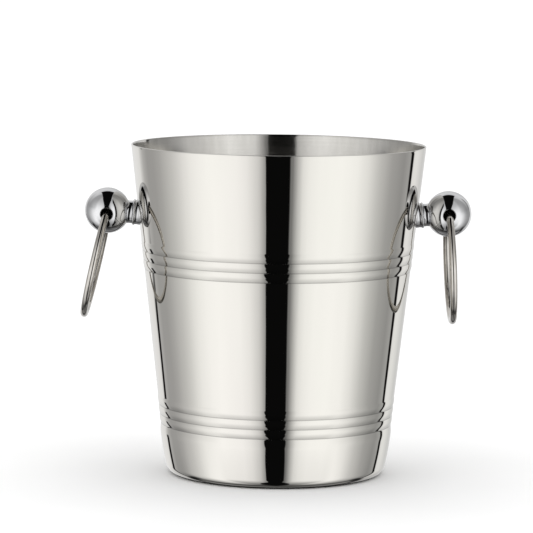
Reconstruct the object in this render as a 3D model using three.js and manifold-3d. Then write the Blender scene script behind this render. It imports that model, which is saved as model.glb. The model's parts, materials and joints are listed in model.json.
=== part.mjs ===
// Champagne bucket with two ball knobs and hanging ring handles.
// Millimetres, +Z up. The origin is the centre of the flat underside, and the knobs lie along X.

import * as THREE from "three";
import { mergeVertices } from "three/addons/utils/BufferGeometryUtils.js";
import Module from "manifold-3d";

// ---- Driving dimensions: bucket ----
const RIM_RADIUS = 100; // outside, at the top edge
const HEIGHT = 224;
const SHEET = 1.2; // thickness of the sheet steel
const WALL_TAPER = rad(6.475); // lean of the side wall from the vertical
const FOOT_TAPER = rad(8.93); // lean of the wall below the lower band
const FOOT_TOP_DEPTH = 192; // where the steeper foot wall starts, below the rim
const FOOT_TOP_RADIUS = 79.06;
const FOOT_BULGE = 0.4; // how far the foot wall swells beyond a straight cone
const BASE_CORNER_RADIUS = 7.6;
const WALL_SEGMENTS = 64;
const CORNER_STEPS = 4; // straight facets round the corner at the base

// ---- Driving dimensions: rolled bands ----
const BEAD_PITCH = 6.45;
const BEAD_COUNT = 3; // beads in each band
const UPPER_BAND_DEPTH = 65.05; // top of the band, below the rim
const LOWER_BAND_DEPTH = 170.45;
const BEAD_CROWN = 0.4; // how far a bead stands out of the wall
const BEAD_STEPS = 3; // straight facets across a bead

// ---- Driving dimensions: knobs ----
const KNOB_DEPTH = 47.1; // where the knob's axis meets the outside of the wall, below the rim
const KNOB_TILT = rad(3.5); // upward tilt of the knob's axis
const BALL_RADIUS = 15.5;
const BALL_REACH = 21.14; // from the wall to the ball's centre, along the knob's axis
const BALL_SEAT = 13.4; // from the ball's centre to the flat that the collar meets
const SOCKET_HOLE_RADIUS = 4.2; // the two blind holes on one line that hold the ring's ends
const SOCKET_HOLE_FILLET = 0.35; // rounding at the mouths of the blind holes
const WEB_HALF_THICKNESS = 4.75; // solid middle of the ball, between the blind holes
const BALL_ROLL = { left: rad(-5.7), right: 0 }; // how far each ball is turned about the knob's axis
const COLLAR_WALL_RADIUS = 8.15;
const COLLAR_BEAD_RADIUS = 8.8;
const COLLAR_BEAD_ROUNDING = 0.3;
const COLLAR_BALL_RADIUS = 7.6;
const COLLAR_BEAD_START = 2.3; // the bead's two edges, from the wall along the axis
const COLLAR_BEAD_END = 4.1;
const CLEARANCE = 0.3; // gap between pieces that meet
const OVERCUT = 4; // how far a blank or a cutter runs past the face that it is cut to

// ---- Driving dimensions: fasteners inside the bucket ----
const SCREW_RADIUS = 3;
const SCREW_HEAD_RADIUS = 6;
const SCREW_HEAD_HEIGHT = 3.7;
const SCREW_HEAD_CROWN = 0.6; // radius of the head's flat top, as a share of the head's radius
const SCREW_CHAMFER = 0.6;
const SCREW_TIP = 24; // from the wall, along the axis, into the ball's solid middle
const SOCKET_RADIUS = 2.3; // hexagon socket, over its corners
const SOCKET_DEPTH = 2;
const SADDLE_RADIUS = 8.5;
const SADDLE_FACE = 4.4; // from the wall's outside to the saddle washer's flat face
const WASHER_RADIUS = 7;
const WASHER_THICKNESS = 1.4;
const LOCK_WASHER_RADIUS = 5.5;
const LOCK_WASHER_THICKNESS = 1.6;
const LOCK_WASHER_SLOT = 1;
const HOLE_RADIUS = SCREW_RADIUS + CLEARANCE; // every hole that the screw goes through

// ---- Driving dimensions: rings ----
const RING_RADIUS = 37.3; // to the middle of the wire
const WIRE_RADIUS = 2.5;
const RING_END = 6.5; // from the middle of the ball to each end of the open ring
const RING_POSE = {
  left: { lean: rad(12.3), yaw: rad(-1.5) },
  right: { lean: rad(2.7), yaw: rad(0.7) },
};

// ---- Facets ----
const KNOB_SEGMENTS = 28;
const SMALL_SEGMENTS = 20;
const SOCKET_SIDES = 6;
const BALL_STEPS = 12; // from one hole's mouth to the other's
const FILLET_STEPS = 2;
const WIRE_SEGMENTS = 10;
const RING_STEPS = 60;
const CONE_SEGMENTS = 4 * WALL_SEGMENTS; // of the cone that fits a piece to the side wall

// ---- Materials ----
const polishedSteel = { color: 0xd9d9d6, metalness: 1, roughness: 0.08 };
const chrome = { color: 0xdcdde0, metalness: 1, roughness: 0.05 };
const ringSteel = { color: 0xb9b4ac, metalness: 1, roughness: 0.15 };
const plainSteel = { color: 0xa8a9ab, metalness: 1, roughness: 0.35 };
const sealRubber = { color: 0xdedfdc, metalness: 0, roughness: 0.6 };

// ---- Helpers ----
const MERGE_DISTANCE = 1e-4;
const wasm = await Module();
wasm.setup();

function rad(degrees) {
  return THREE.MathUtils.degToRad(degrees);
}

/** A closed three.js geometry as a manifold-3d solid. */
function solidOf(geometry) {
  const bare = geometry.clone();
  bare.deleteAttribute("normal");
  bare.deleteAttribute("uv");
  const merged = mergeVertices(bare, MERGE_DISTANCE);
  return new wasm.Manifold(
    new wasm.Mesh({
      numProp: 3,
      vertProperties: new Float32Array(merged.attributes.position.array),
      triVerts: new Uint32Array(merged.index.array),
    }),
  );
}

/** A manifold-3d solid as a three.js geometry. */
function geometryOf(solid) {
  const { vertProperties, triVerts } = solid.getMesh();
  const geometry = new THREE.BufferGeometry();
  geometry.setAttribute("position", new THREE.BufferAttribute(vertProperties, 3));
  geometry.setIndex(new THREE.BufferAttribute(triVerts, 1));
  geometry.computeVertexNormals();
  return geometry;
}

function namedMesh(name, geometry, look) {
  const mesh = new THREE.Mesh(geometry, new THREE.MeshStandardMaterial(look));
  mesh.name = name;
  return mesh;
}

/** A profile of [radius, height] points turned about +Z. */
function turnedAboutZ(profile, segments) {
  const points = profile.map(([radius, height]) => new THREE.Vector2(radius, height));
  return new THREE.LatheGeometry(points, segments).rotateX(Math.PI / 2);
}

/** A profile of [radius, distance] points turned about +X. */
function turnedAboutX(profile, segments) {
  const points = profile.map(([radius, distance]) => new THREE.Vector2(radius, distance));
  return new THREE.LatheGeometry(points, segments).rotateZ(-Math.PI / 2);
}

/** Points on an arc about [x, y], both ends included. */
function arc(x, y, radius, from, to, steps) {
  return Array.from({ length: steps + 1 }, (_, i) => {
    const angle = from + ((to - from) * i) / steps;
    return [x + radius * Math.cos(angle), y + radius * Math.sin(angle)];
  });
}

/** A plain tube or disc along +X, from one distance to another. */
function sleeve(inner, outer, from, to, segments = SMALL_SEGMENTS) {
  return turnedAboutX(
    [
      [inner, from],
      [outer, from],
      [outer, to],
      [inner, to],
      [inner, from],
    ],
    segments,
  );
}

// ---- Bucket ----
/** Radius of the plain side wall at a depth below the rim. */
function wallRadius(depth) {
  return RIM_RADIUS - depth * Math.tan(WALL_TAPER);
}

/** Outline of one rolled band, downwards, with a sharp valley under each bead. */
function bandOutline(topDepth) {
  const points = [[wallRadius(topDepth), HEIGHT - topDepth]];
  for (let bead = 0; bead < BEAD_COUNT; bead++) {
    for (let step = 1; step <= BEAD_STEPS; step++) {
      const across = step / BEAD_STEPS;
      const depth = topDepth + (bead + across) * BEAD_PITCH;
      const proud = BEAD_CROWN * Math.sin(Math.PI * across);
      points.push([wallRadius(depth) + proud, HEIGHT - depth]);
    }
  }
  return points;
}

/** Outline of the foot wall and the rounded corner, downwards to the flat underside. */
function footOutline() {
  const slope = Math.tan(FOOT_TAPER);
  const arcStart = BASE_CORNER_RADIUS * (1 - Math.sin(FOOT_TAPER));
  const drop = HEIGHT - FOOT_TOP_DEPTH - arcStart;
  const arcTopRadius = FOOT_TOP_RADIUS - drop * slope;
  const cornerX = arcTopRadius - BASE_CORNER_RADIUS * Math.cos(FOOT_TAPER);
  return [
    [FOOT_TOP_RADIUS, HEIGHT - FOOT_TOP_DEPTH],
    [FOOT_TOP_RADIUS - (drop * slope) / 2 + FOOT_BULGE, HEIGHT - FOOT_TOP_DEPTH - drop / 2],
    ...arc(cornerX, BASE_CORNER_RADIUS, BASE_CORNER_RADIUS, -FOOT_TAPER, -Math.PI / 2, CORNER_STEPS),
  ];
}

/** Outside of the bucket, from the rim down to the edge of the flat underside. */
function outerOutline() {
  return [
    [RIM_RADIUS, HEIGHT],
    ...bandOutline(UPPER_BAND_DEPTH),
    ...bandOutline(LOWER_BAND_DEPTH),
    ...footOutline(),
  ];
}

/** The same outline moved inwards by the sheet's thickness, square to each stretch. */
function offsetInwards(outline, thickness) {
  return outline.map(([radius, height], i) => {
    const [r0, z0] = outline[Math.max(i - 1, 0)];
    const [r1, z1] = outline[Math.min(i + 1, outline.length - 1)];
    const length = Math.hypot(r1 - r0, z1 - z0);
    return [radius + ((z1 - z0) / length) * thickness, height - ((r1 - r0) / length) * thickness];
  });
}

/** The bucket's sheet as one closed outline that starts and ends on the axis. */
function shellOutline() {
  const outer = outerOutline();
  const inner = offsetInwards(outer, SHEET);
  inner[0] = [RIM_RADIUS - SHEET / Math.cos(WALL_TAPER), HEIGHT];
  inner[inner.length - 1][1] = SHEET;
  return [[0, 0], ...outer.reverse(), ...inner, [0, SHEET]];
}

// ---- Knob frame: +X runs outwards along the knob's axis from the outside of the wall ----
const knobFrame = new THREE.Matrix4()
  .makeTranslation(wallRadius(KNOB_DEPTH), 0, HEIGHT - KNOB_DEPTH)
  .multiply(new THREE.Matrix4().makeRotationY(-KNOB_TILT));

/** A solid cone of the side wall's slope, seen from the knob frame. */
function wallCone(offset) {
  const reach = offset / Math.cos(WALL_TAPER);
  const low = KNOB_DEPTH + 2 * BALL_RADIUS;
  const high = KNOB_DEPTH - 2 * BALL_RADIUS;
  const cone = turnedAboutZ(
    [
      [0, HEIGHT - low],
      [wallRadius(low) + reach, HEIGHT - low],
      [wallRadius(high) + reach, HEIGHT - high],
      [0, HEIGHT - high],
    ],
    CONE_SEGMENTS,
  );
  return solidOf(cone.applyMatrix4(knobFrame.clone().invert()));
}

function bodyShell() {
  const shell = solidOf(turnedAboutZ(shellOutline(), WALL_SEGMENTS));
  const drill = sleeve(0, HOLE_RADIUS, -SHEET - OVERCUT, OVERCUT);
  drill.applyMatrix4(knobFrame);
  const rightHole = solidOf(drill);
  const leftHole = solidOf(drill.clone().rotateZ(Math.PI));
  return geometryOf(shell.subtract(rightHole).subtract(leftHole));
}

// ---- Knob pieces, in the knob frame ----
/** Ball with two blind holes for the ring's ends, a flat for the collar and a screw hole. */
function ballKnob() {
  const filletX = SOCKET_HOLE_RADIUS + SOCKET_HOLE_FILLET;
  const filletY = Math.sqrt((BALL_RADIUS - SOCKET_HOLE_FILLET) ** 2 - filletX ** 2);
  const mouth = Math.atan2(filletY, filletX);
  const upperFillet = arc(filletX, filletY, SOCKET_HOLE_FILLET, mouth, Math.PI, FILLET_STEPS);
  const upper = [...upperFillet, [SOCKET_HOLE_RADIUS, WEB_HALF_THICKNESS], [0, WEB_HALF_THICKNESS]];
  const lower = upper.map(([x, y]) => [x, -y]).reverse();
  const outside = arc(0, 0, BALL_RADIUS, -mouth, mouth, BALL_STEPS);
  const outline = [...lower, ...outside.slice(1), ...upper.slice(1)];
  const points = outline.map(([x, y]) => new THREE.Vector2(x, y));
  const drilled = solidOf(new THREE.LatheGeometry(points, KNOB_SEGMENTS).translate(BALL_REACH, 0, 0));
  const seat = BALL_REACH - BALL_SEAT;
  const beyondSeat = solidOf(sleeve(0, BALL_RADIUS, seat - BALL_RADIUS, seat));
  const screwHole = solidOf(sleeve(0, HOLE_RADIUS, seat - OVERCUT, SCREW_TIP + CLEARANCE));
  return geometryOf(drilled.subtract(beyondSeat).subtract(screwHole));
}

/** Turned collar with a bead round it, its inner end fitted to the wall. */
function neckCollar() {
  const end = BALL_REACH - BALL_SEAT - CLEARANCE;
  const beadMiddle = (COLLAR_BEAD_START + COLLAR_BEAD_END) / 2;
  const beadEdge = COLLAR_BEAD_RADIUS - COLLAR_BEAD_ROUNDING;
  const collar = solidOf(
    turnedAboutX(
      [
        [HOLE_RADIUS, -OVERCUT],
        [COLLAR_WALL_RADIUS, -OVERCUT],
        [COLLAR_WALL_RADIUS, COLLAR_BEAD_START],
        [beadEdge, COLLAR_BEAD_START + COLLAR_BEAD_ROUNDING],
        [COLLAR_BEAD_RADIUS, beadMiddle],
        [beadEdge, COLLAR_BEAD_END - COLLAR_BEAD_ROUNDING],
        [COLLAR_BALL_RADIUS, COLLAR_BEAD_END],
        [COLLAR_BALL_RADIUS, end],
        [HOLE_RADIUS, end],
        [HOLE_RADIUS, -OVERCUT],
      ],
      KNOB_SEGMENTS,
    ),
  );
  return geometryOf(collar.subtract(wallCone(CLEARANCE)));
}

/** Wedge-shaped washer that seals the hole and squares the screw to the sloping wall. */
function saddleWasher() {
  const blank = solidOf(sleeve(HOLE_RADIUS, SADDLE_RADIUS, -SADDLE_FACE, OVERCUT));
  return geometryOf(blank.intersect(wallCone(-SHEET - CLEARANCE)));
}

function flatWasher() {
  const outerFace = -SADDLE_FACE - CLEARANCE;
  return sleeve(HOLE_RADIUS, WASHER_RADIUS, outerFace - WASHER_THICKNESS, outerFace);
}

/** Split ring with a narrow slot. */
function lockWasher() {
  const face = -SADDLE_FACE - 2 * CLEARANCE - WASHER_THICKNESS;
  const ring = sleeve(HOLE_RADIUS, LOCK_WASHER_RADIUS, face - LOCK_WASHER_THICKNESS, face);
  const length = 2 * LOCK_WASHER_THICKNESS;
  const cutter = new THREE.BoxGeometry(length, LOCK_WASHER_SLOT, 2 * LOCK_WASHER_RADIUS);
  cutter.translate(face - LOCK_WASHER_THICKNESS / 2, 0, LOCK_WASHER_RADIUS);
  return geometryOf(solidOf(ring).subtract(solidOf(cutter)));
}

/** Round-headed screw with a hexagon socket. */
function screw() {
  const seat = -SADDLE_FACE - 3 * CLEARANCE - WASHER_THICKNESS - LOCK_WASHER_THICKNESS;
  const top = seat - SCREW_HEAD_HEIGHT;
  const crown = SCREW_HEAD_CROWN * SCREW_HEAD_RADIUS;
  const shoulder = (crown + 3 * SCREW_HEAD_RADIUS) / 4;
  const blank = solidOf(
    turnedAboutX(
      [
        [0, top],
        [crown, top],
        [shoulder, top + SCREW_HEAD_HEIGHT / 4],
        [SCREW_HEAD_RADIUS, top + SCREW_HEAD_HEIGHT / 2],
        [SCREW_HEAD_RADIUS, seat],
        [SCREW_RADIUS, seat],
        [SCREW_RADIUS, SCREW_TIP - SCREW_CHAMFER],
        [SCREW_RADIUS - SCREW_CHAMFER, SCREW_TIP],
        [0, SCREW_TIP],
      ],
      SMALL_SEGMENTS,
    ),
  );
  const socket = sleeve(0, SOCKET_RADIUS, top - OVERCUT, top + SOCKET_DEPTH, SOCKET_SIDES);
  return geometryOf(blank.subtract(solidOf(socket)));
}

// ---- Ring, in the ball's frame ----
/** How far the ring's centre hangs below the ball's, its wire resting in the holes' mouths. */
function ringDrop() {
  const restRadius = SOCKET_HOLE_RADIUS + SOCKET_HOLE_FILLET;
  const restHalfLength = Math.sqrt(BALL_RADIUS ** 2 - restRadius ** 2) - SOCKET_HOLE_FILLET / 2;
  const innerRadius = RING_RADIUS - WIRE_RADIUS;
  return SOCKET_HOLE_RADIUS - CLEARANCE + Math.sqrt(innerRadius ** 2 - restHalfLength ** 2);
}

/** Open ring: a round wire whose two ends stop inside the ball's blind holes. */
function ringGeometry() {
  const hoop = new THREE.TorusGeometry(RING_RADIUS, WIRE_RADIUS, WIRE_SEGMENTS, RING_STEPS);
  hoop.rotateY(Math.PI / 2);
  const gap = new THREE.BoxGeometry(4 * WIRE_RADIUS, 2 * RING_END, 4 * WIRE_RADIUS);
  gap.translate(0, 0, RING_RADIUS);
  return geometryOf(solidOf(hoop).subtract(solidOf(gap))).translate(0, 0, -ringDrop());
}

// ---- Assembly ----
/** One handle, built for the +X side. */
function handle(side) {
  const ball = namedMesh(`${side}_ball_knob`, ballKnob(), chrome);
  ball.position.x = BALL_REACH;
  ball.geometry.translate(-BALL_REACH, 0, 0);
  ball.rotation.x = BALL_ROLL[side];

  const turn = new THREE.Group();
  turn.rotation.z = RING_POSE[side].yaw;
  turn.add(namedMesh(`${side}_ring`, ringGeometry(), ringSteel));
  const swing = new THREE.Group();
  swing.rotation.y = KNOB_TILT - RING_POSE[side].lean;
  swing.add(turn);
  const holes = new THREE.Group();
  holes.position.x = BALL_REACH;
  holes.rotation.x = BALL_ROLL[side];
  holes.add(swing);

  const knob = new THREE.Group();
  knob.applyMatrix4(knobFrame);
  knob.add(
    ball,
    holes,
    namedMesh(`${side}_neck_collar`, neckCollar(), chrome),
    namedMesh(`${side}_saddle_washer`, saddleWasher(), sealRubber),
    namedMesh(`${side}_flat_washer`, flatWasher(), plainSteel),
    namedMesh(`${side}_lock_washer`, lockWasher(), plainSteel),
    namedMesh(`${side}_screw`, screw(), plainSteel),
  );
  const whole = new THREE.Group();
  whole.add(knob);
  return whole;
}

const group = new THREE.Group();
const rightHandle = handle("right");
const leftHandle = handle("left");
leftHandle.rotation.z = Math.PI;
group.add(namedMesh("body_shell", bodyShell(), polishedSteel), rightHandle, leftHandle);

export default group;
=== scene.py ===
import json
import math

import bmesh
import bpy
from mathutils import Matrix, Vector


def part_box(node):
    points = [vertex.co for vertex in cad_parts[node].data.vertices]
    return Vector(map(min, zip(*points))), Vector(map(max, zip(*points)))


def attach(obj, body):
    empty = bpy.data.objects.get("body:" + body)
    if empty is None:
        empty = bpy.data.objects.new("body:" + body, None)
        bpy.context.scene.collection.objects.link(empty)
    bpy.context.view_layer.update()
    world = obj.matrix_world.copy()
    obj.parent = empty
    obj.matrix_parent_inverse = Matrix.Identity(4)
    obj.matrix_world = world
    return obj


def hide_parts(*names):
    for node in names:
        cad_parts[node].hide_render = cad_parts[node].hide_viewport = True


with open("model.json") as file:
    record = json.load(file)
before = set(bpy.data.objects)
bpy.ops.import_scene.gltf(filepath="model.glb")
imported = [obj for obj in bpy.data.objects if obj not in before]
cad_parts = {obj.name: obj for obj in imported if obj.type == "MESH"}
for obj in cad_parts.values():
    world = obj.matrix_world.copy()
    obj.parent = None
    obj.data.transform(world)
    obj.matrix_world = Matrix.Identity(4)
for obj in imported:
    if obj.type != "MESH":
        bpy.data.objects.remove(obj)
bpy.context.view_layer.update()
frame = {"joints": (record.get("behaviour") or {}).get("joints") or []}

MM = 0.001

# ---- Sizes read from the frame ----
SHELL_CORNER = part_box("body_shell")[1]
HEIGHT = SHELL_CORNER.z
RIM_RADIUS = SHELL_CORNER.x
HINGES = {joint["child"]: Vector(joint["pos_m"]) for joint in frame["joints"]}
BALL_CENTRE = HINGES["right_ring"]

# ---- Bucket; its main sizes are those of the CAD. Depths are measured down from the rim ----
SHEET = 1.2 * MM
WALL_TAPER = math.radians(6.475)
FOOT_TAPER = math.radians(8.93)
FOOT_TOP_DEPTH = 192 * MM
FOOT_TOP_RADIUS = 79.06 * MM
FOOT_BULGE = 0.4 * MM
FOOT_SHOULDER = 7 * MM
BASE_CORNER_RADIUS = 7.6 * MM
RIM_ROUNDING = 0.4 * MM
WALL_SUPPORT = 0.35 * MM
SHELL_SEGMENTS = 192
FOOT_STEPS = 28
CORNER_STEPS = 14
EDGE_STEPS = 5

# ---- Rolled bands ----
BEAD_PITCH = 6.45 * MM
UPPER_BAND_DEPTH = 65.05 * MM
LOWER_BAND_DEPTH = 170.45 * MM
UPPER_CROWNS = (0.29 * MM, 0.30 * MM, 0.40 * MM)
LOWER_CROWNS = (0.33 * MM, 0.37 * MM, 0.44 * MM)
BEAD_STEPS = 14
VALLEY_LINE = (0.08 * MM, 0.55 * MM)
# Painted shade on the bands: its strength in the valleys, its reach up each bead and its strength
# there.
VALLEY_PAINTED_SHADE = 0.42
BEAD_SHADE_REACH = 4.2 * MM
BEAD_PAINTED_SHADE = 0.2

# ---- Satin inside: painted light makes it lighter between these two depths ----
SATIN_DEPTHS = (17 * MM, 60 * MM)

# ---- Knobs ----
KNOB_TILT = math.radians(3.5)
BALL_RADIUS = 15.5 * MM
BALL_REACH = 21.14 * MM
BALL_SEAT = 13.4 * MM
BALL_ROLL = {"left": math.radians(-5.7), "right": 0.0}
SOCKET_HOLE_RADIUS = 4.2 * MM
SOCKET_HOLE_FILLET = 0.35 * MM
WEB_HALF_THICKNESS = 4.75 * MM
WEB_EDGE = 0.1 * MM
COLLAR_WALL_RADIUS = 8.35 * MM
COLLAR_BALL_RADIUS = 7.85 * MM
COLLAR_BEAD_RADIUS = 8.8 * MM
COLLAR_BEAD_MIDDLE = 3.2 * MM
COLLAR_BEAD_HALF = 0.9 * MM
COLLAR_EDGE = 0.5 * MM
COLLAR_FLARE = 0.1 * MM
COVE_SLOPE = math.radians(14)
COLLAR_GROOVE = 0.2 * MM
SHANK_RADIUS = 3 * MM
SHANK_HOLE_RADIUS = 3.3 * MM
DRILL_SPAN = (-6 * MM, 4 * MM)
CONTACT_GAP = 0.02 * MM
BALL_SEGMENTS = 144
BALL_STEPS = 88
FILLET_STEPS = 6
COLLAR_SEGMENTS = 96
COLLAR_BEAD_STEPS = 16
COVE_STEPS = 12

# ---- Fasteners inside the bucket; each fills half of the CAD's gap to its neighbour ----
HALF_GAP = 0.15 * MM
SADDLE_RADIUS = 8.5 * MM
SADDLE_FACE = 4.4 * MM
SADDLE_ROUNDING = 0.4 * MM
WASHER_RADIUS = 7 * MM
WASHER_FACES = (4.7 * MM, 6.1 * MM)
LOCK_WASHER_RADIUS = 5.5 * MM
LOCK_WASHER_FACES = (6.4 * MM, 8.0 * MM)
LOCK_WASHER_SLOT = math.radians(12)
SCREW_SEAT = 8.3 * MM
SCREW_HEAD_RADIUS = 6 * MM
SCREW_HEAD_HEIGHT = 3.7 * MM
DOME_FLAT_SHARE = 0.55
DOME_HEIGHT = 0.75 * SCREW_HEAD_HEIGHT
SCREW_TIP = 24 * MM
SOCKET_RADIUS = 2.3 * MM
SOCKET_DEPTH = 2 * MM
SOCKET_SIDES = 6
KEY_OVERSHOOT = 1 * MM
THREAD_PITCH = 1 * MM
THREAD_HEIGHT = 0.55 * MM
THREAD_RUN_IN = 1.5 * MM
THREAD_RUN_OUT = 0.8 * MM
THREAD_ROWS_PER_PITCH = 8
EDGE_CHAMFER = 0.2 * MM
WASHER_SEGMENTS = 72
LOCK_WASHER_STEPS = 64
LOCK_WASHER_CLIMB = 0.35 * MM
SCREW_SEGMENTS = 36
DOME_STEPS = 12

# ---- Rings ----
RING_RADIUS = 37.3 * MM
WIRE_RADIUS = 2.47 * MM
RING_CLEARANCE = 0.3 * MM
RING_END = 6.5 * MM
RING_LEAN = {"left": math.radians(12.3), "right": math.radians(2.7)}
RING_YAW = {"left": math.radians(-1.5), "right": math.radians(0.7)}
WIRE_END_ROUNDING = 0.5 * MM
WIRE_SEGMENTS = 32
RING_STEPS = 176

# ---- Camera ----
CAMERA_DISTANCE = 2.3392
CAMERA_HEIGHT = 0.3964
CAMERA_PITCH = math.radians(6.234)
CAMERA_YAW = math.radians(-0.183)
CAMERA_ROLL = math.radians(0.62)
CAMERA_LENS = 233.6
SENSOR_WIDTH = 36

# ---- Floor and light ----
FLOOR_HEIGHT = -0.2 * MM
FLOOR_HALF_WIDTH = 12.0
PATCH_RADIUS = FOOT_TOP_RADIUS - 8.5 * MM
PATCH_SIDES = 96
SOFT_LIGHT_POWER = 2.1
SOFT_LIGHT_SPREAD = math.radians(80)


# ---- Node helpers ----
class Graph:
    """A node tree built from short expressions; each call returns an output socket."""

    def __init__(self, tree):
        self.tree = tree
        self.tree.nodes.clear()

    def node(self, kind, **settings):
        made = self.tree.nodes.new(kind)
        for key, value in settings.items():
            setattr(made, key, value)
        return made

    def put(self, socket, value):
        if isinstance(value, bpy.types.NodeSocket):
            self.tree.links.new(value, socket)
        else:
            socket.default_value = value

    def fed(self, made, *values):
        """The first output of a node whose first inputs are given."""
        for socket, value in zip(made.inputs, values):
            self.put(socket, value)
        return made.outputs[0]

    def math(self, operation, *values):
        made = self.node("ShaderNodeMath", operation=operation)
        return self.fed(made, *values)

    def smooth(self, value, low, high, to_low=0.0, to_high=1.0):
        """Eases from to_low to to_high while the value goes from low to high."""
        made = self.node("ShaderNodeMapRange", interpolation_type="SMOOTHSTEP")
        return self.fed(made, value, low, high, to_low, to_high)

    def spread(self, value, to_low, to_high):
        """Maps 0..1 to to_low..to_high."""
        return self.fed(self.node("ShaderNodeMapRange"), value, 0.0, 1.0, to_low, to_high)

    def mix(self, factor, first, second):
        return self.math("ADD", self.math("MULTIPLY", first, self.math("SUBTRACT", 1.0, factor)),
                         self.math("MULTIPLY", second, factor))

    def ramp(self, value, stops):
        """A grey or coloured ramp; stops are (place from 0 to 1, brightness or colour)."""
        made = self.node("ShaderNodeValToRGB")
        elements = made.color_ramp.elements
        while len(elements) < len(stops):
            elements.new(0.5)
        for element, (place, shade) in zip(elements, stops):
            element.position = place
            colour = shade if isinstance(shade, tuple) else (shade, shade, shade)
            element.color = (*colour, 1.0)
        return self.fed(made, value)

    def blend(self, kind, factor, first, second):
        """Two colours joined; kind is MIX or MULTIPLY."""
        return self.fed(self.node("ShaderNodeMixRGB", blend_type=kind), factor, first, second)

    def point(self):
        """The surface point in the object's own frame."""
        return self.node("ShaderNodeTexCoord").outputs["Object"]

    def height(self):
        """How high that point is."""
        parts = self.node("ShaderNodeSeparateXYZ")
        self.put(parts.inputs[0], self.point())
        return parts.outputs[2]

    def mapped(self, scale=(1, 1, 1)):
        """The surface point, stretched by scale per axis."""
        made = self.node("ShaderNodeMapping")
        self.put(made.inputs["Vector"], self.point())
        made.inputs["Scale"].default_value = scale
        return made.outputs[0]

    def noise(self, vector, scale, detail=2.0, roughness=0.5):
        made = self.node("ShaderNodeTexNoise")
        self.put(made.inputs["Vector"], vector)
        made.inputs["Scale"].default_value = scale
        made.inputs["Detail"].default_value = detail
        made.inputs["Roughness"].default_value = roughness
        return made.outputs[0]

    def bump(self, height, distance, strength=1.0, normal=None):
        made = self.node("ShaderNodeBump")
        made.inputs["Strength"].default_value = strength
        made.inputs["Distance"].default_value = distance
        self.put(made.inputs["Height"], height)
        if normal is not None:
            self.put(made.inputs["Normal"], normal)
        return made.outputs[0]


def new_material(name, metallic=0.0):
    """A material with a graph and a Principled shader joined to its output."""
    material = bpy.data.materials.new(name)
    material.use_nodes = True
    graph = Graph(material.node_tree)
    shader = graph.node("ShaderNodeBsdfPrincipled")
    shader.inputs["Metallic"].default_value = metallic
    output = graph.node("ShaderNodeOutputMaterial")
    graph.put(output.inputs["Surface"], shader.outputs[0])
    return material, graph, shader


# ---- Materials ----
def band_painted_shade(graph):
    """Two masks of painted shade on the bands: each valley's bottom, and the lower half of each
    bead.

    The valleys are creases where shade falls and the beads' lower halves face downwards, so both
    are painted darker; mirror_steel also makes the valleys rougher.
    """
    height = graph.height()
    lines = shades = 0.0
    for top_depth in (UPPER_BAND_DEPTH, LOWER_BAND_DEPTH):
        for bead in range(1, len(UPPER_CROWNS) + 1):
            valley = HEIGHT - top_depth - bead * BEAD_PITCH
            above = graph.math("SUBTRACT", height, valley)
            valley_painted_shade = graph.smooth(graph.math("ABSOLUTE", above), *VALLEY_LINE, 1.0, 0.0)
            fade = graph.smooth(above, 0.0, BEAD_SHADE_REACH, 1.0, 0.0)
            shade = graph.math("MULTIPLY", fade, graph.math("GREATER_THAN", above, 0.0))
            lines = graph.math("MAXIMUM", lines, valley_painted_shade)
            shades = graph.math("MAXIMUM", shades, shade)
    return lines, shades


def mirror_steel():
    """Buffed outside of the bucket: near-mirror, with haze, slight waviness and hairlines."""
    material, graph, shader = new_material("mirror_steel", 1.0)
    broad = graph.noise(graph.mapped((1, 1, 0.35)), 14, 2)
    lines = graph.noise(graph.mapped((9, 9, 2600)), 1, 2, 0.6)
    haze = graph.noise(graph.mapped(), 55, 4, 0.6)
    streaks = graph.noise(graph.mapped((70, 70, 4)), 1, 3, 0.6)
    tone = graph.ramp(broad, [(0.3, (0.66, 0.638, 0.606)), (0.7, (0.648, 0.638, 0.594))])
    valley_shade_mask, bead_shade_mask = band_painted_shade(graph)
    # Painted shade in the band valleys and on the beads' lower halves, darkening the base colour;
    # the valleys are also rougher.
    valley_shade_and_roughness = graph.math("MULTIPLY", valley_shade_mask, graph.spread(haze, 0.5, 0.95))
    painted_shade = graph.math("ADD", graph.math("MULTIPLY", valley_shade_and_roughness, VALLEY_PAINTED_SHADE),
                        graph.math("MULTIPLY", bead_shade_mask, BEAD_PAINTED_SHADE))
    shade = graph.math("SUBTRACT", graph.spread(streaks, 0.965, 1.02), painted_shade)
    graph.put(shader.inputs["Base Color"], graph.blend("MULTIPLY", 1.0, tone, shade))
    rough = graph.math("ADD", graph.spread(haze, 0.005, 0.025), graph.spread(lines, 0.0, 0.015))
    graph.put(shader.inputs["Roughness"], graph.mix(valley_shade_and_roughness, rough, 0.14))
    wave = graph.bump(streaks, 0.02 * MM, 1.0, graph.bump(broad, 0.16 * MM))
    graph.put(shader.inputs["Normal"], graph.bump(lines, 0.0002 * MM, 0.6, wave))
    return material


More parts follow.
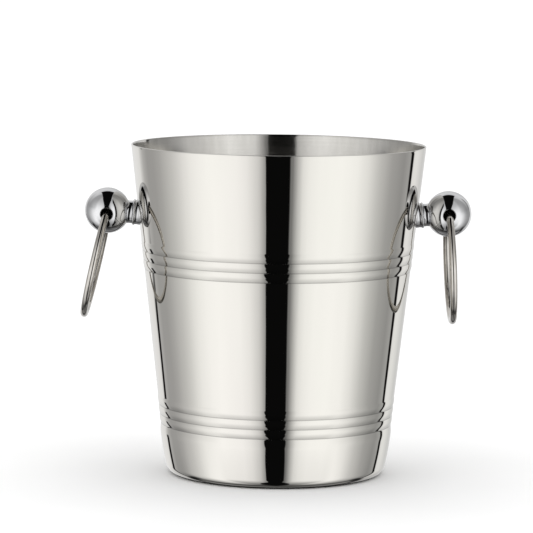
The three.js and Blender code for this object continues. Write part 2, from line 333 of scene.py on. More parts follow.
def satin_steel():
    """Inside of the bucket: brushed round the axis; painted light makes it lighter deep down, so it
    is darker near the rim.
    """
    material, graph, shader = new_material("satin_steel", 1.0)
    lines = graph.noise(graph.mapped((14, 14, 1700)), 1, 3, 0.65)
    patches = graph.noise(graph.mapped((55, 55, 9)), 1, 4, 0.6)
    tone = graph.mix(0.6, graph.spread(lines, 0.55, 0.95), graph.spread(patches, 0.35, 1.1))
    rim_colour = graph.ramp(tone, [(0.5, (0.35, 0.34, 0.318)), (0.9, (0.68, 0.667, 0.636))])
    # Painted light: deep down, the base colour is lighter than near the rim.
    deep_painted_light_colour = graph.ramp(tone, [(0.5, (0.78, 0.765, 0.735)), (0.9, (0.94, 0.925, 0.895))])
    near_rim, far_down = SATIN_DEPTHS
    deep_painted_light = graph.smooth(graph.height(), HEIGHT - far_down, HEIGHT - near_rim, 1.0, 0.0)
    graph.put(shader.inputs["Base Color"], graph.blend("MIX", deep_painted_light, rim_colour, deep_painted_light_colour))
    graph.put(shader.inputs["Roughness"], graph.spread(lines, 0.07, 0.17))
    shader.inputs["Anisotropic"].default_value = 0.75
    shader.inputs["Anisotropic Rotation"].default_value = 0.25
    tangent = graph.node("ShaderNodeTangent", direction_type="RADIAL", axis="Z")
    graph.put(shader.inputs["Tangent"], tangent.outputs[0])
    streaks = graph.bump(patches, 0.05 * MM)
    graph.put(shader.inputs["Normal"], graph.bump(lines, 0.004 * MM, 0.5, streaks))
    return material


def chrome_plate():
    """Bright chrome of the knobs: cool, deep mirror with faint specks and wipe marks."""
    material, graph, shader = new_material("chrome_plate", 1.0)
    haze = graph.noise(graph.mapped(), 120, 4, 0.6)
    specks = graph.noise(graph.mapped(), 900, 2, 0.5)
    tone = graph.ramp(haze, [(0.35, (0.625, 0.628, 0.638)), (0.7, (0.655, 0.656, 0.662))])
    graph.put(shader.inputs["Base Color"], tone)
    graph.put(shader.inputs["Roughness"], graph.spread(haze, 0.02, 0.07))
    graph.put(shader.inputs["Normal"], graph.bump(specks, 0.0015 * MM, 0.4))
    return material


def ring_steel():
    """Drawn wire, buffed by hand: a little darker and warmer, with marks along the wire."""
    material, graph, shader = new_material("ring_steel", 1.0)
    marks = graph.noise(graph.mapped((1800, 60, 60)), 1, 3, 0.6)
    wear = graph.noise(graph.mapped(), 140, 3, 0.6)
    tone = graph.ramp(wear, [(0.3, (0.49, 0.466, 0.43)), (0.7, (0.57, 0.548, 0.515))])
    graph.put(shader.inputs["Base Color"], tone)
    rough = graph.math("ADD", graph.spread(marks, 0.005, 0.03), graph.spread(wear, 0.0, 0.02))
    graph.put(shader.inputs["Roughness"], rough)
    graph.put(shader.inputs["Normal"], graph.bump(marks, 0.003 * MM, 0.5))
    return material


def drilled_steel_painted_shade():
    """Inside of the ball's two holes, which the plating doesn't reach: tool-marked, with painted
    shade making it near black.
    """
    material, graph, shader = new_material("drilled_steel_painted_shade", 0.3)
    marks = graph.noise(graph.mapped((60, 2400, 60)), 1, 3, 0.6)
    # Painted shade: the inside of the holes is near black.
    tone = graph.ramp(marks, [(0.35, (0.012, 0.012, 0.013)), (0.7, (0.05, 0.048, 0.046))])
    graph.put(shader.inputs["Base Color"], tone)
    graph.put(shader.inputs["Roughness"], graph.spread(marks, 0.55, 0.8))
    graph.put(shader.inputs["Normal"], graph.bump(marks, 0.02 * MM, 0.6))
    return material


def plain_steel():
    """Unpolished fasteners inside the bucket."""
    material, graph, shader = new_material("plain_steel", 1.0)
    grain = graph.noise(graph.mapped(), 700, 4, 0.65)
    stain = graph.noise(graph.mapped(), 90, 2)
    tone = graph.mix(0.4, grain, stain)
    colour = graph.ramp(tone, [(0.3, (0.42, 0.41, 0.4)), (0.7, (0.66, 0.66, 0.66))])
    graph.put(shader.inputs["Base Color"], colour)
    graph.put(shader.inputs["Roughness"], graph.spread(grain, 0.25, 0.45))
    graph.put(shader.inputs["Normal"], graph.bump(grain, 0.01 * MM, 0.5))
    return material


def seal_rubber():
    """Pale grey moulded sealing washer."""
    material, graph, shader = new_material("seal_rubber")
    grain = graph.noise(graph.mapped(), 1600, 3, 0.6)
    cloud = graph.noise(graph.mapped(), 120, 2)
    colour = graph.ramp(cloud, [(0.3, (0.60, 0.60, 0.58)), (0.7, (0.74, 0.74, 0.72))])
    graph.put(shader.inputs["Base Color"], colour)
    graph.put(shader.inputs["Roughness"], graph.spread(grain, 0.5, 0.7))
    graph.put(shader.inputs["Normal"], graph.bump(grain, 0.02 * MM, 0.5))
    return material


# ---- Mesh helpers ----
def add_object(name, data):
    made = bpy.data.objects.new(name, data)
    bpy.context.scene.collection.objects.link(made)
    return made


def skin(name, rows, materials, closed=False, material_of_row=None):
    """A smooth mesh through rows of points. A row of one point is a pole; the others close on
    themselves. closed joins the last row to the first."""
    vertices = [point for row in rows for point in row]
    starts = [sum(len(row) for row in rows[:i]) for i in range(len(rows))]
    faces, face_rows = [], []
    for i in range(len(rows) if closed else len(rows) - 1):
        j = (i + 1) % len(rows)
        low, high, a, b = rows[i], rows[j], starts[i], starts[j]
        for k in range(max(len(low), len(high))):
            after = (k + 1) % max(len(low), len(high))
            if len(low) == 1:
                faces.append((a, b + after, b + k))
            elif len(high) == 1:
                faces.append((a + k, a + after, b))
            else:
                faces.append((a + k, a + after, b + after, b + k))
            face_rows.append(i)
    mesh = bpy.data.meshes.new(name)
    mesh.from_pydata(vertices, [], faces)
    for material in materials:
        mesh.materials.append(material)
    if material_of_row:
        for polygon, row in zip(mesh.polygons, face_rows):
            polygon.material_index = material_of_row(row)
    face_outwards(mesh)
    return add_object(name, mesh)


def face_outwards(mesh):
    """Points every face out of the solid and shades it smooth."""
    work = bmesh.new()
    work.from_mesh(mesh)
    bmesh.ops.recalc_face_normals(work, faces=work.faces)
    work.to_mesh(mesh)
    work.free()
    mesh.shade_smooth()


def cut(piece, *cutters):
    """Takes the cutters out of the piece, for good."""
    for cutter in cutters:
        modifier = piece.modifiers.new("cut", "BOOLEAN")
        modifier.operation = "DIFFERENCE"
        modifier.solver = "EXACT"
        modifier.object = cutter
    done = piece.evaluated_get(bpy.context.evaluated_depsgraph_get())
    mesh = bpy.data.meshes.new_from_object(done)
    piece.modifiers.clear()
    old = piece.data
    piece.data = mesh
    bpy.data.meshes.remove(old)
    mesh.name = piece.name
    for cutter in cutters:
        bpy.data.objects.remove(cutter)
    return piece


def sharpen(piece, degrees):
    """Creases edges where faces meet at more than this angle."""
    piece.data.shade_smooth()
    piece.data.set_sharp_from_angle(angle=math.radians(degrees))
    return piece


def turns(count):
    return [2 * math.pi * k / count for k in range(count)]


def arc(x, y, radius, start, end, steps):
    """Points on an arc about (x, y), both ends included."""
    angles = [start + (end - start) * i / steps for i in range(steps + 1)]
    return [(x + radius * math.cos(a), y + radius * math.sin(a)) for a in angles]


def about_z(profile, segments):
    """Rows of points for a (radius, height) profile turned about Z."""
    return [
        [Vector((0, 0, height))] if radius == 0
        else [Vector((radius * math.cos(a), radius * math.sin(a), height)) for a in turns(segments)]
        for radius, height in profile
    ]


def about_x(profile, segments, place, fit=None):
    """Rows of points for a (radius, distance) profile turned about X, then placed. fit may move a
    point along X before it is placed."""
    rows = []
    for radius, distance in profile:
        angles = turns(segments) if radius > 0 else [0]
        row = [Vector((distance, radius * math.cos(a), radius * math.sin(a))) for a in angles]
        rows.append([place @ (fit(point) if fit else point) for point in row])
    return rows


def rod(outline):
    """The outline closed on the axis at both its ends."""
    return [(0, outline[0][1]), *outline, (0, outline[-1][1])]


# ---- Bucket ----
def wall_radius(depth):
    return RIM_RADIUS - depth * math.tan(WALL_TAPER)


def wall_stretch(top_depth, bottom_depth, extra=()):
    """A plain stretch of wall, with rows close to its ends so that its shading stays straight."""
    depths = [top_depth + WALL_SUPPORT, top_depth + 4 * WALL_SUPPORT, *extra,
              bottom_depth - 4 * WALL_SUPPORT, bottom_depth - WALL_SUPPORT]
    return [(wall_radius(depth), HEIGHT - depth) for depth in depths]


def band_outline(top_depth, crowns):
    """One rolled band downwards: convex beads with a sharp valley between each two."""
    points = [(wall_radius(top_depth), HEIGHT - top_depth)]
    for bead, crown in enumerate(crowns):
        for step in range(1, BEAD_STEPS + 1):
            across = step / BEAD_STEPS
            depth = top_depth + (bead + across) * BEAD_PITCH
            proud = crown * math.sin(math.pi * across)
            points.append((wall_radius(depth) + proud, HEIGHT - depth))
    return points


def foot_outline(band_end):
    """The foot wall, which curves out from under the lower band and swells, and the corner."""
    slope = math.tan(FOOT_TAPER)
    arc_start = BASE_CORNER_RADIUS * (1 - math.sin(FOOT_TAPER))
    drop = HEIGHT - FOOT_TOP_DEPTH - arc_start
    hollow = FOOT_TOP_RADIUS + slope * (FOOT_TOP_DEPTH - band_end) - wall_radius(band_end)
    points = []
    for step in range(1, FOOT_STEPS):
        depth = band_end + (HEIGHT - arc_start - band_end) * step / FOOT_STEPS
        below = depth - FOOT_TOP_DEPTH
        curve = max(0, 1 - (depth - band_end) / FOOT_SHOULDER) ** 2
        across = max(0, below / drop)
        swell = 4 * FOOT_BULGE * across * (1 - across)
        points.append((FOOT_TOP_RADIUS - slope * below - hollow * curve + swell, HEIGHT - depth))
    corner = FOOT_TOP_RADIUS - drop * slope - BASE_CORNER_RADIUS * math.cos(FOOT_TAPER)
    return points + arc(corner, BASE_CORNER_RADIUS, BASE_CORNER_RADIUS,
                        -FOOT_TAPER, -math.pi / 2, CORNER_STEPS)


def outer_outline():
    """Outside of the bucket from just under the rim to the edge of the flat underside."""
    upper_end = UPPER_BAND_DEPTH + len(UPPER_CROWNS) * BEAD_PITCH
    lower_end = LOWER_BAND_DEPTH + len(LOWER_CROWNS) * BEAD_PITCH
    knob_depth = HEIGHT - knob_frame("right").translation.z
    around_knob = (knob_depth - 2 * SHANK_RADIUS, knob_depth + 2 * SHANK_RADIUS)
    return [
        *wall_stretch(RIM_ROUNDING, UPPER_BAND_DEPTH, around_knob),
        *band_outline(UPPER_BAND_DEPTH, UPPER_CROWNS),
        *wall_stretch(upper_end, LOWER_BAND_DEPTH),
        *band_outline(LOWER_BAND_DEPTH, LOWER_CROWNS),
        *foot_outline(lower_end),
    ]


def offset_inwards(outline, distance):
    """The outline moved in by distance, square to itself."""
    moved = []
    for i, (radius, height) in enumerate(outline):
        r0, z0 = outline[max(i - 1, 0)]
        r1, z1 = outline[min(i + 1, len(outline) - 1)]
        length = math.hypot(r1 - r0, z1 - z0)
        out, up = (z1 - z0) / length, (r1 - r0) / length
        moved.append((radius + out * distance, height - up * distance))
    return moved


def rim_outline():
    """The cut edge of the sheet, rounded by polishing, from outside to inside."""
    outer = RIM_RADIUS - RIM_ROUNDING
    inner = RIM_RADIUS - SHEET + RIM_ROUNDING
    low = HEIGHT - RIM_ROUNDING
    quarter = math.pi / 2
    return [*arc(outer, low, RIM_ROUNDING, 0, quarter, EDGE_STEPS),
            *arc(inner, low, RIM_ROUNDING, quarter, 2 * quarter, EDGE_STEPS)]


def bucket_shell(materials):
    outer = outer_outline()
    inner = offset_inwards(outer, SHEET)
    inner[-1] = (inner[-1][0], SHEET)
    flat = outer[-1][0]
    under = [(flat * share, 0) for share in (0.2, 0.6, 0.985)]
    floor = [(radius, SHEET) for radius, _ in reversed(under)]
    rim = rim_outline()
    profile = [(0, 0), *under, *reversed(outer), *rim, *inner, *floor, (0, SHEET)]
    inside_from = len(under) + len(outer) + len(rim) // 2
    shell = skin("bucket_shell", about_z(profile, SHELL_SEGMENTS), materials,
                 material_of_row=lambda row: int(row > inside_from))
    drill = rod([(SHANK_HOLE_RADIUS, distance) for distance in DRILL_SPAN])
    drills = [skin(f"drill_{side}", about_x(drill, 32, knob_frame(side)), materials[:1])
              for side in ("left", "right")]
    return sharpen(cut(shell, *drills), 40)


# ---- Knobs, in a frame whose +X runs outwards along the knob's axis from the wall ----
def side_turn(side):
    return Matrix.Rotation(math.pi if side == "left" else 0, 4, "Z")


def knob_frame(side):
    tilt = Matrix.Rotation(-KNOB_TILT, 4, "Y")
    start = BALL_CENTRE - tilt @ Vector((BALL_REACH, 0, 0))
    return side_turn(side) @ Matrix.Translation(start) @ tilt


def fitted_to_wall(offset):
    """A move along the knob's axis that lands a point on the wall's cone, offset inwards."""
    place = knob_frame("right")
    direction = (place.to_3x3() @ Vector((1, 0, 0))).normalized()
    closing = direction.x - math.tan(WALL_TAPER) * direction.z

    def fit(point):
        spot = place @ point
        for _ in range(6):
            cone = wall_radius(HEIGHT - spot.z) - offset / math.cos(WALL_TAPER)
            spot += direction * ((cone - math.hypot(spot.x, spot.y)) / closing)
        return place.inverted() @ spot

    return fit


def ball_frame(side):
    """The ball's own frame: its two holes lie along Y."""
    roll = Matrix.Rotation(BALL_ROLL[side], 4, "X")
    return knob_frame(side) @ Matrix.Translation((BALL_REACH, 0, 0)) @ roll


def ball_knob(side, materials):
    """Ball with two blind holes for the ring's ends, a flat for the collar and a screw hole."""
    fillet_x = SOCKET_HOLE_RADIUS + SOCKET_HOLE_FILLET
    fillet_y = math.sqrt((BALL_RADIUS - SOCKET_HOLE_FILLET) ** 2 - fillet_x**2)
    mouth = math.atan2(fillet_y, fillet_x)
    fillet = arc(fillet_x, fillet_y, SOCKET_HOLE_FILLET, mouth, math.pi, FILLET_STEPS)
    web = WEB_HALF_THICKNESS
    hole = [(SOCKET_HOLE_RADIUS, fillet_y * share + web * (1 - share))
            for share in (0.97, 0.5, 0.03)]
    bottom = [(radius, web)
              for radius in (SOCKET_HOLE_RADIUS - WEB_EDGE, SOCKET_HOLE_RADIUS / 2, 0)]
    upper = [*fillet, *hole, *bottom]
    lower = [(x, -y) for x, y in reversed(upper)]
    outside = arc(0, 0, BALL_RADIUS, -mouth, mouth, BALL_STEPS)
    profile = [*lower, *outside[1:], *upper[1:]]
    # The rows of faces between these two are plated: all but the holes and their fillets' insides.
    plated_from = len(lower) - len(fillet) + 2
    plated_to = len(lower) + len(outside) + len(fillet) - 5
    place = ball_frame(side)
    rows = [
        [place @ Vector((x * math.cos(a), y, x * math.sin(a)))
         for a in (turns(BALL_SEGMENTS) if x > 0 else [0])]
        for x, y in profile
    ]
    ball = skin(f"{side}_ball", rows, materials,
                material_of_row=lambda row: int(row < plated_from or row > plated_to))
    seat = BALL_REACH - BALL_SEAT
    tool_outline = rod([
        (BALL_RADIUS, seat - BALL_RADIUS),
        (BALL_RADIUS, seat),
        (SHANK_HOLE_RADIUS, seat),
        (SHANK_HOLE_RADIUS, SCREW_TIP + 2 * HALF_GAP),
    ])
    tool = skin(f"seat_tool_{side}", about_x(tool_outline, 64, knob_frame(side)), materials[:1])
    return sharpen(cut(ball, tool), 30)


def cove(edge_radius, start, end):
    """A hollow turned section between two edges of the same radius."""
    bend = (end - start) / 2 / math.sin(COVE_SLOPE)
    middle = (start + end) / 2
    centre = edge_radius + bend * math.cos(COVE_SLOPE)
    first, last = -math.pi / 2 - COVE_SLOPE, -math.pi / 2 + COVE_SLOPE
    hollow = arc(middle, centre, bend, first, last, COVE_STEPS)
    return [(radius, distance) for distance, radius in hollow]


def neck_collar(side, materials):
    """Turned collar: a hollow section at the wall, a round bead and another hollow section."""
    end = BALL_REACH - BALL_SEAT - CONTACT_GAP
    bead_base = COLLAR_BEAD_RADIUS - COLLAR_BEAD_HALF
    bead = arc(COLLAR_BEAD_MIDDLE, bead_base, COLLAR_BEAD_HALF, math.pi, 0, COLLAR_BEAD_STEPS)
    bead_start, bead_end = bead[0][0], bead[-1][0]
    outside = [
        *cove(COLLAR_WALL_RADIUS, COLLAR_EDGE, bead_start),
        *[(radius, distance) for distance, radius in bead],
        (COLLAR_BALL_RADIUS - COLLAR_GROOVE, bead_end + COLLAR_GROOVE),
        *cove(COLLAR_BALL_RADIUS, bead_end + 2 * COLLAR_GROOVE, end - COLLAR_GROOVE / 2),
        (COLLAR_BALL_RADIUS - COLLAR_GROOVE, end),
    ]
    to_wall = fitted_to_wall(-CONTACT_GAP)
    at_wall = [(SHANK_HOLE_RADIUS, 0), (COLLAR_WALL_RADIUS + COLLAR_FLARE, 0)]
    place = knob_frame(side)
    rows = [
        *about_x(at_wall, COLLAR_SEGMENTS, place, to_wall),
        *about_x([*outside, (SHANK_HOLE_RADIUS, end)], COLLAR_SEGMENTS, place),
    ]
    return sharpen(skin(f"{side}_collar", rows, materials, closed=True), 35)


def saddle_washer(side, materials):
    """Wedge-shaped sealing washer between the sloping wall and the flat washer."""
    face = -SADDLE_FACE - HALF_GAP
    centre = SADDLE_RADIUS - SADDLE_ROUNDING
    to_wall = fitted_to_wall(SHEET + CONTACT_GAP)
    place = knob_frame(side)
    outside = [
        (SHANK_HOLE_RADIUS, face),
        *arc(centre, face + SADDLE_ROUNDING, SADDLE_ROUNDING, -math.pi / 2, 0, EDGE_STEPS),
    ]
    at_wall = [(SADDLE_RADIUS, 0), (SHANK_HOLE_RADIUS, 0)]
    rows = [
        *about_x(outside, WASHER_SEGMENTS, place),
        *about_x(at_wall, WASHER_SEGMENTS, place, to_wall),
    ]
    return sharpen(skin(f"{side}_seal", rows, materials, closed=True), 40)


def flat_washer(side, materials):
    front, back = -WASHER_FACES[0] + HALF_GAP, -WASHER_FACES[1] - HALF_GAP
    profile = [
        (SHANK_HOLE_RADIUS, back),
        (WASHER_RADIUS - EDGE_CHAMFER, back),
        (WASHER_RADIUS, back + EDGE_CHAMFER),
        (WASHER_RADIUS, front - EDGE_CHAMFER),
        (WASHER_RADIUS - EDGE_CHAMFER, front),
        (SHANK_HOLE_RADIUS, front),
    ]
    rows = about_x(profile, WASHER_SEGMENTS, knob_frame(side))
    return sharpen(skin(f"{side}_washer", rows, materials, closed=True), 25)


def lock_washer(side, materials):
    """Split spring washer: a square section that climbs a little from one cut end to the other."""
    near, far = -LOCK_WASHER_FACES[0] + HALF_GAP, -LOCK_WASHER_FACES[1] - HALF_GAP
    near -= LOCK_WASHER_CLIMB
    section = [(SHANK_HOLE_RADIUS, far), (LOCK_WASHER_RADIUS, far),
               (LOCK_WASHER_RADIUS, near), (SHANK_HOLE_RADIUS, near)]
    place = knob_frame(side)
    rows = []
    for step in range(LOCK_WASHER_STEPS + 1):
        share = step / LOCK_WASHER_STEPS
        angle = LOCK_WASHER_SLOT / 2 + (2 * math.pi - LOCK_WASHER_SLOT) * share
        climb = LOCK_WASHER_CLIMB * share
        rows.append([
            place @ Vector((x + climb, radius * math.sin(angle), radius * math.cos(angle)))
            for radius, x in section
        ])
    middles = [sum(row, Vector()) / len(row) for row in (rows[0], rows[-1])]
    rows = [[middles[0]], *rows, [middles[1]]]
    return sharpen(skin(f"{side}_spring_washer", rows, materials), 30)


def threaded_shank():
    """Rows of a threaded shank along X, from under the head to the tip."""
    start, end = -SCREW_SEAT + THREAD_RUN_IN, SCREW_TIP - THREAD_RUN_OUT / 2
    count = round((end - start) / THREAD_PITCH * THREAD_ROWS_PER_PITCH)
    rows = []
    for i in range(count + 1):
        x = start + (end - start) * i / count
        fade = min(1, (x - start) / THREAD_RUN_IN, (end - x) / THREAD_RUN_OUT)
        row = []
        for a in turns(SCREW_SEGMENTS):
            phase = (x / THREAD_PITCH - a / (2 * math.pi)) % 1
            depth = THREAD_HEIGHT * (1 - abs(2 * phase - 1)) * fade
            radius = SHANK_RADIUS - depth
            row.append(Vector((x, radius * math.cos(a), radius * math.sin(a))))
        rows.append(row)
    return rows


def screw(side, materials):
    """Button-headed screw with a hexagon socket and a cut thread."""
    place = knob_frame(side)
    seat = -SCREW_SEAT + HALF_GAP
    top = -SCREW_SEAT - SCREW_HEAD_HEIGHT
    dome = []
    for step in range(DOME_STEPS + 1):
        angle = math.pi / 2 * step / DOME_STEPS
        width = DOME_FLAT_SHARE + (1 - DOME_FLAT_SHARE) * math.sin(angle)
        dome.append((SCREW_HEAD_RADIUS * width, top + DOME_HEIGHT * (1 - math.cos(angle))))
    edge = [(SCREW_HEAD_RADIUS, seat - EDGE_CHAMFER), (SCREW_HEAD_RADIUS - EDGE_CHAMFER, seat)]
    head = about_x([(0, top), *dome, *edge, (SHANK_RADIUS, seat)], SCREW_SEGMENTS, place)
    shank = [[place @ point for point in row] for row in threaded_shank()]
    point = [(SHANK_RADIUS - THREAD_HEIGHT, SCREW_TIP), (0, SCREW_TIP)]
    tip = about_x(point, SCREW_SEGMENTS, place)
    made = skin(f"{side}_screw_body", [*head, *shank, *tip], materials)
    key = rod([(SOCKET_RADIUS, top - KEY_OVERSHOOT), (SOCKET_RADIUS, top + SOCKET_DEPTH)])
    socket = skin(f"socket_tool_{side}", about_x(key, SOCKET_SIDES, place), materials[:1])
    return sharpen(cut(made, socket), 30)


# ---- Rings ----
def ring_drop():
    """How far the ring's centre hangs below the ball's, its wire resting in the holes' mouths."""
    rest_radius = SOCKET_HOLE_RADIUS + SOCKET_HOLE_FILLET
    rest_half_length = math.sqrt(BALL_RADIUS**2 - rest_radius**2) - SOCKET_HOLE_FILLET / 2
    inner_radius = RING_RADIUS - WIRE_RADIUS
    return SOCKET_HOLE_RADIUS - RING_CLEARANCE + math.sqrt(inner_radius**2 - rest_half_length**2)


def wire_ring(side, materials):
    """An open ring of round wire whose two ends, with rounded edges, sit in the ball's holes."""
    place = (
        ball_frame(side)
        @ Matrix.Rotation(KNOB_TILT - RING_LEAN[side], 4, "Y")
        @ Matrix.Rotation(RING_YAW[side], 4, "Z")
        @ Matrix.Translation((0, 0, -ring_drop()))
    )
    rounding = WIRE_END_ROUNDING
    first = math.asin(RING_END / RING_RADIUS)
    ease = rounding / RING_RADIUS
    full = first + ease
    end = [(0, first), (WIRE_RADIUS - rounding, first),
           (WIRE_RADIUS - 0.3 * rounding, first + 0.3 * ease)]
    run = [(WIRE_RADIUS, full + 2 * (math.pi - full) * i / RING_STEPS)
           for i in range(RING_STEPS + 1)]
    other_end = [(radius, 2 * math.pi - around) for radius, around in reversed(end)]
    rows = []
    for radius, around in [*end, *run, *other_end]:
        radial = Vector((0, math.sin(around), math.cos(around)))
        row = []
        for a in turns(WIRE_SEGMENTS) if radius > 0 else [0]:
            aside = Vector((radius * math.sin(a), 0, 0))
            row.append(place @ (radial * (RING_RADIUS + radius * math.cos(a)) + aside))
        rows.append(row)
    return sharpen(skin(f"{side}_wire_ring", rows, materials), 50)


# ---- Studio: light by direction. Azimuth 0 is the front; azimuths and elevations in degrees ----
STUDIO_GAIN = 1.42
DARK_LEVEL = 0.003
OVERHEAD_LIGHT = 0.45
OVERHEAD_BLEND = (-3.0, 56.0)
ASIDE_BLEND = (0.8, 0.97)
BEHIND_BLEND = (0.2, 0.6)
STRIP_REACH = 0.53
STRIP_LEFT_EDGE = (-0.004, 0.012)
STRIP_RIGHT_EDGE = (-0.02, 0.008)
STRIP_FRONT_EDGE = (-0.02, 0.02)
LINE_HALF_WIDTH = 2.8
LEFT_LINE_AZIMUTH = -138.6
RIGHT_LINE_AZIMUTH = 130.9
LEFT_LINE_TOP = (-11.5, -9.5)
LINES_TOP = (30.0, 50.0)
AZIMUTH_LIGHT = (
    (-180, 0.55), (-157, 0.68), (-145, 0.7), (-136, 0.42), (-128, 0.33), (-118, 0.34),
    (-110, 0.39), (-95, 0.55), (-88, 0.65), (-82, 0.76), (-76, 0.85), (-65, 0.95), (-54, 1.0),
    (-34, 0.955), (-25, 0.86), (-16, 0.64), (-11, 0.34), (11, 0.17), (16, 0.54), (20, 0.8),
    (25, 0.91), (34, 0.975), (52, 0.99), (65, 0.93), (76, 0.78), (88, 0.54), (102, 0.36),
    (118, 0.285), (129, 0.37), (133, 0.74), (141, 0.73), (157, 0.52),
)
FRONT_BY_ELEVATION = (
    (-90, 0.02), (-82, 0.07), (-74, 0.18), (-62, 0.34), (-46, 0.62), (-42, 0.76), (-36, 0.87),
    (-27, 0.93), (-20, 1.0), (60, 1.0), (75, 0.7), (82, 1.0), (90, 1.4),
)
SIDE_BY_ELEVATION = (
    (-90, 0.02), (-75, 0.35), (-62, 0.8), (-40, 1.1), (-10, 1.0), (0, 0.92), (12, 0.7),
    (60, 0.74), (75, 0.7), (82, 1.0), (90, 1.4),
)
BACK_BY_ELEVATION = (
    (-90, 0.02), (-80, 0.06), (-70, 0.16), (-48, 0.36), (-44, 0.04), (-39, 0.04), (-35, 0.6),
    (-15, 1.0), (0, 1.0), (12, 0.85), (45, 1.4), (65, 1.2), (82, 1.0), (90, 1.4),
)
LEFT_HALF_WIDTH = (
    (-90, 0.8), (-60, 0.36), (-50, 0.17), (-44, 0.148), (-33, 0.18), (-27, 0.184), (-18, 0.173),
    (3, 0.196), (9, 0.238), (24, 0.24), (40, 0.29), (55, 0.33),
)
RIGHT_HALF_WIDTH = (
    (-90, 0.8), (-60, 0.36), (-50, 0.17), (-44, 0.158), (-33, 0.176), (-27, 0.18), (-18, 0.167),
    (3, 0.184), (9, 0.16), (24, 0.15), (40, 0.24), (55, 0.31), (90, 0.33),
)


def by_elevation(graph, elevation, stops):
    """A ramp over elevation, from -90 to 90."""
    height = graph.math("MULTIPLY_ADD", elevation, 1 / 180, 0.5)
    return graph.ramp(height, [(degrees / 180 + 0.5, shade) for degrees, shade in stops])


def dark_strip(graph, x, toward, up, elevation):
    """1 inside the unlit gap in front, which runs up and past overhead."""
    lift = graph.math("MAXIMUM", up, 0.0)
    squares = [graph.math("MULTIPLY", value, value) for value in (x, toward, lift)]
    square = graph.math("ADD", graph.math("ADD", squares[0], squares[1]), squares[2])
    across = graph.math("DIVIDE", x, graph.math("SQRT", square))
    left_half = by_elevation(graph, elevation, LEFT_HALF_WIDTH)
    right_half = by_elevation(graph, elevation, RIGHT_HALF_WIDTH)
    beyond_left = graph.math("SUBTRACT", graph.math("MULTIPLY", across, -1.0), left_half)
    beyond_right = graph.math("SUBTRACT", across, right_half)
    left = graph.smooth(beyond_left, *STRIP_LEFT_EDGE, 1.0, 0.0)
    right = graph.smooth(beyond_right, *STRIP_RIGHT_EDGE, 1.0, 0.0)
    reach = graph.math("ADD", toward, graph.math("MULTIPLY", lift, STRIP_REACH))
    front = graph.smooth(reach, *STRIP_FRONT_EDGE)
    return graph.math("MULTIPLY", graph.math("MULTIPLY", left, right), front)


def thin_line(graph, azimuth, centre):
    """1 on a thin upright line at an azimuth."""
    away = graph.math("ABSOLUTE", graph.math("SUBTRACT", azimuth, centre))
    return graph.smooth(away, 0.55 * LINE_HALF_WIDTH, 1.3 * LINE_HALF_WIDTH, 1.0, 0.0)


def studio_world():
    """A tent of soft light round the object, seen in its reflections; the camera sees white."""
    world = bpy.data.worlds.new("studio")
    bpy.context.scene.world = world
    world.use_nodes = True
    graph = Graph(world.node_tree)
    parts = graph.node("ShaderNodeSeparateXYZ")
    graph.put(parts.inputs[0], graph.node("ShaderNodeTexCoord").outputs["Generated"])
    x, back, up = parts.outputs
    toward = graph.math("MULTIPLY", back, -1.0)
    azimuth = graph.math("DEGREES", graph.math("ARCTAN2", x, toward))
    elevation = graph.math("DEGREES", graph.math("ARCSINE", up))

    around = graph.math("MULTIPLY_ADD", azimuth, 1 / 360, 0.5)
    side_light = graph.ramp(around, [(a / 360 + 0.5, shade) for a, shade in AZIMUTH_LIGHT])
    light = graph.mix(graph.smooth(elevation, *OVERHEAD_BLEND), side_light, OVERHEAD_LIGHT)
    level = graph.math("SQRT", graph.math("SUBTRACT", 1.0, graph.math("MULTIPLY", up, up)))
    aside = graph.math("DIVIDE", graph.math("ABSOLUTE", x), level)
    front, side, rear = [by_elevation(graph, elevation, stops)
                         for stops in (FRONT_BY_ELEVATION, SIDE_BY_ELEVATION, BACK_BY_ELEVATION)]
    by_height = graph.mix(graph.smooth(aside, *ASIDE_BLEND), front, side)
    behind = graph.smooth(graph.math("DIVIDE", back, level), *BEHIND_BLEND)
    light = graph.math("MULTIPLY", light, graph.mix(behind, by_height, rear))

    low = graph.smooth(elevation, *LEFT_LINE_TOP, 1.0, 0.0)
    left_line = graph.math("MULTIPLY", thin_line(graph, azimuth, LEFT_LINE_AZIMUTH), low)
    right_line = thin_line(graph, azimuth, RIGHT_LINE_AZIMUTH)
    below_overhead = graph.smooth(elevation, *LINES_TOP, 1.0, 0.0)
    lines = graph.math("MULTIPLY", graph.math("MAXIMUM", left_line, right_line), below_overhead)
    dark = graph.math("MAXIMUM", dark_strip(graph, x, toward, up, elevation), lines)
    light = graph.math("MULTIPLY", graph.mix(dark, light, DARK_LEVEL), STUDIO_GAIN)

    seen = graph.node("ShaderNodeLightPath").outputs["Is Camera Ray"]
    background = graph.node("ShaderNodeBackground")
    background.inputs["Color"].default_value = (1, 1, 1, 1)
    graph.put(background.inputs["Strength"], graph.mix(seen, light, 1.0))
    output = graph.node("ShaderNodeOutputWorld")
    graph.put(output.inputs["Surface"], background.outputs[0])


def floor_sheet(name, outline, height, material):
    """A flat level sheet of the stage."""
    mesh = bpy.data.meshes.new(name)
    mesh.from_pydata([(x, y, 0) for x, y in outline], [], [range(len(outline))])
    mesh.materials.append(material)
    made = add_object(name, mesh)
    made.location.z = height
    return made


def matt_floor(name, noise_scale, dark, light):
    """A rough, faintly cloudy surface; dark and light are its two shades."""
    material, graph, shader = new_material(name)
    cloud = graph.noise(graph.mapped(), noise_scale, 2)
    graph.put(shader.inputs["Base Color"], graph.ramp(cloud, [(0.3, dark), (0.7, light)]))
    shader.inputs["Roughness"].default_value = 0.9
    return material, shader


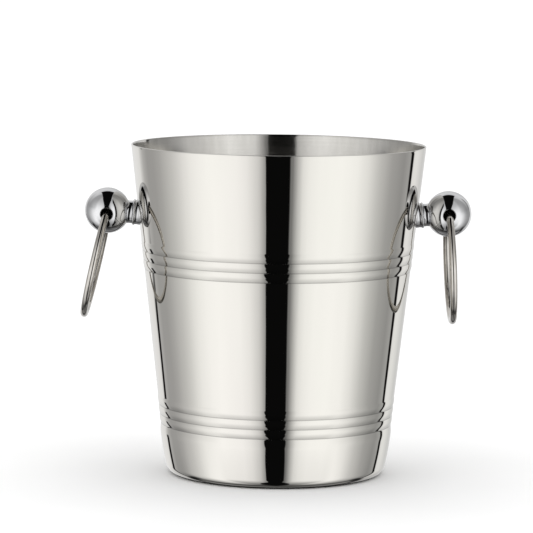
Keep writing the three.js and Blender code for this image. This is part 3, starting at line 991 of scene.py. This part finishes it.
def pale_floor():
    """The white floor, which catches the soft shadow and isn't mirrored."""
    material, shader = matt_floor("pale_floor", 6, 0.93, 0.95)
    shader.inputs["Specular IOR Level"].default_value = 0.1
    half = FLOOR_HALF_WIDTH
    corners = [(-half, -half), (half, -half), (half, half), (-half, half)]
    floor = floor_sheet("floor", corners, FLOOR_HEIGHT, material)
    floor.visible_glossy = False


def painted_shadow_patch():
    """A patch of floor under the bucket's edge, painted dark as its shadow, which only the rounded
    corner mirrors.
    """
    # Painted shadow: a dark sheet under the bucket, seen only in reflections.
    material, _ = matt_floor("painted_shadow_floor", 30, 0.1, 0.14)
    outline = [(PATCH_RADIUS * math.cos(a), PATCH_RADIUS * math.sin(a)) for a in turns(PATCH_SIDES)]
    patch = floor_sheet("painted_shadow_patch", outline, FLOOR_HEIGHT / 2, material)
    patch.visible_camera = False
    patch.visible_diffuse = False


def soft_light():
    """A wide overhead light for the floor and the dull parts; the metal mirrors the studio."""
    data = bpy.data.lights.new("soft_light", "SUN")
    data.angle = SOFT_LIGHT_SPREAD
    data.energy = SOFT_LIGHT_POWER
    add_object("soft_light", data).visible_glossy = False


def camera():
    """The photograph's view."""
    data = bpy.data.cameras.new("camera")
    data.lens = CAMERA_LENS
    data.sensor_width = SENSOR_WIDTH
    made = add_object("camera", data)
    made.matrix_world = (
        Matrix.Translation((0, -CAMERA_DISTANCE, CAMERA_HEIGHT))
        @ Matrix.Rotation(-CAMERA_YAW, 4, "Z")
        @ Matrix.Rotation(math.pi / 2 - CAMERA_PITCH, 4, "X")
        @ Matrix.Rotation(CAMERA_ROLL, 4, "Z")
    )
    bpy.context.scene.camera = made


# ---- Build ----
def fix(piece, body, slot, *nodes):
    """The piece rides on the body and stands for the nodes, which it hides. slot is not used."""
    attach(piece, body)
    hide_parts(*nodes)


def build():
    chrome, drilled_painted_shade = chrome_plate(), drilled_steel_painted_shade()
    steel, rubber, wire = plain_steel(), seal_rubber(), ring_steel()
    fix(bucket_shell([mirror_steel(), satin_steel()]), "bucket", "polished_steel", "body_shell")
    for side in ("left", "right"):
        fix(ball_knob(side, [chrome, drilled_painted_shade]), "bucket", "chrome", f"{side}_ball_knob")
        fix(neck_collar(side, [chrome]), "bucket", "chrome", f"{side}_neck_collar")
        fix(saddle_washer(side, [rubber]), "bucket", "seal_rubber", f"{side}_saddle_washer")
        fix(flat_washer(side, [steel]), "bucket", "plain_steel", f"{side}_flat_washer")
        fix(lock_washer(side, [steel]), "bucket", "plain_steel", f"{side}_lock_washer")
        fix(screw(side, [steel]), "bucket", "plain_steel", f"{side}_screw")
        fix(wire_ring(side, [wire]), f"{side}_ring", "ring_steel", f"{side}_ring")


camera()
build()
studio_world()
pale_floor()
painted_shadow_patch()
soft_light()
bpy.context.scene.view_settings.view_transform = "Standard"
